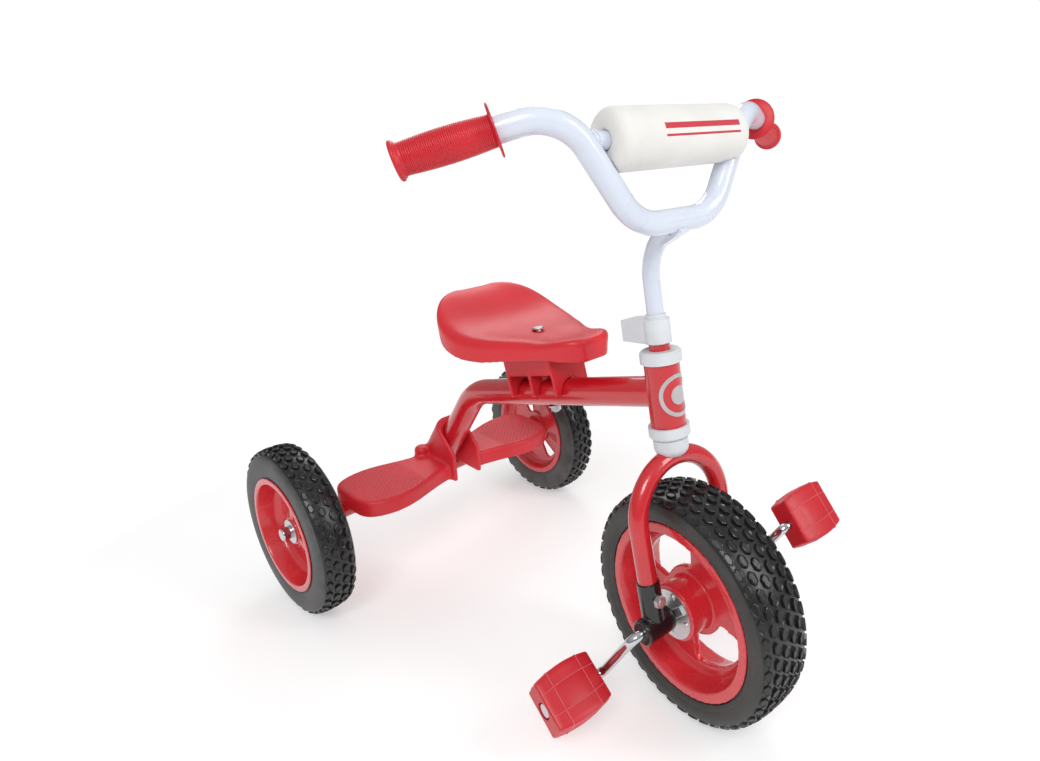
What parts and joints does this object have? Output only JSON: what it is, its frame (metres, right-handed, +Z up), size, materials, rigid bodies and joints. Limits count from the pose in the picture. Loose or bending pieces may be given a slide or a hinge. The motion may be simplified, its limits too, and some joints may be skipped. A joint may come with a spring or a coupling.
{
  "type": "children's tricycle",
  "caption": "Child's pedal tricycle with a padded handlebar, cranks on the front wheel, a dished seat and step plates over the rear axle.",
  "frame": {"origin": "on the floor under the middle of the outline", "axes": "+X forward, +Y to the rider's left, +Z up"},
  "size_m": [0.7109, 0.4474, 0.6262],
  "materials": {
    "red_powder_coat": "gloss powder coat",
    "white_powder_coat": "gloss powder coat",
    "red_moulding": "fine grain",
    "white_moulding": "satin",
    "black_moulding": "gloss",
    "tyre": "moulded tread",
    "red_grip": "fine ribs",
    "white_foam": "matt",
    "zinc_steel": "zinc plated",
    "chrome_steel": "polished"
  },
  "bodies": {
    "frame": {"head_tube": "red_powder_coat", "backbone_tube": "red_powder_coat", "axle_tube": "red_powder_coat", "upper_head_bush": "white_moulding", "lower_head_bush": "white_moulding", "head_badge": "white_moulding", "step_deck": "red_moulding", "deck_screws": "zinc_steel", "rear_axle": "zinc_steel", "axle_washers": "zinc_steel", "axle_cap_nuts": "chrome_steel", "seat_shell": "red_moulding", "seat_mount": "red_moulding", "seat_bolt": "zinc_steel", "seat_nut": "zinc_steel"},
    "steering": {"fork_arch": "red_powder_coat", "steerer_tube": "red_powder_coat", "crown_cover": "white_moulding", "steerer_clamp": "zinc_steel", "clamp_bolt": "zinc_steel", "clamp_nut": "zinc_steel", "clamp_cover": "white_moulding", "stem_tube": "white_powder_coat", "stem_gusset": "white_powder_coat", "handlebar": "white_powder_coat", "crossbar": "white_powder_coat", "crossbar_pad": "white_foam", "grip_left": "red_grip", "grip_right": "red_grip", "fork_end_right": "black_moulding", "fork_end_left": "black_moulding", "fork_end_bolts": "zinc_steel", "fork_end_nuts": "zinc_steel"},
    "front_wheel": {"front_tyre": "tyre", "front_rim": "red_moulding", "hub_plate_right": "zinc_steel", "hub_plate_left": "zinc_steel", "hub_screws": "zinc_steel", "crank_axle": "chrome_steel", "pedal_push_nuts": "chrome_steel"},
    "right_pedal": {"pedal_right": "red_moulding"},
    "left_pedal": {"pedal_left": "red_moulding"},
    "rear_right_wheel": {"rear_tyre_right": "tyre", "rear_rim_right": "red_moulding", "rear_bushes_right": "white_moulding"},
    "rear_left_wheel": {"rear_tyre_left": "tyre", "rear_rim_left": "red_moulding", "rear_bushes_left": "white_moulding"}
  },
  "joints": [
    {"name": "steer", "type": "hinge", "parent": "frame", "child": "steering", "pos_m": [0.22085, 0, 0.12575], "axis": [-0.1564, 0, 0.9877], "range_deg": [-37.8, 52.2]},
    {"name": "front_wheel_spin", "type": "hinge", "parent": "steering", "child": "front_wheel", "pos_m": [0.22869, -0.001, 0.12699], "axis": [0.1238, 0.9921, 0.0196], "continuous": true},
    {"name": "right_pedal_spin", "type": "hinge", "parent": "front_wheel", "child": "right_pedal", "pos_m": [0.17422, -0.12907, 0.06569], "axis": [0.1238, 0.9921, 0.0196], "continuous": true},
    {"name": "left_pedal_spin", "type": "hinge", "parent": "front_wheel", "child": "left_pedal", "pos_m": [0.28316, 0.12706, 0.18829], "axis": [0.1238, 0.9921, 0.0196], "continuous": true},
    {"name": "rear_right_spin", "type": "hinge", "parent": "frame", "child": "rear_right_wheel", "pos_m": [-0.24725, -0.195, 0.1085], "axis": [0, 1, 0], "continuous": true},
    {"name": "rear_left_spin", "type": "hinge", "parent": "frame", "child": "rear_left_wheel", "pos_m": [-0.24725, 0.195, 0.1085], "axis": [0, 1, 0], "continuous": true}
  ]
}
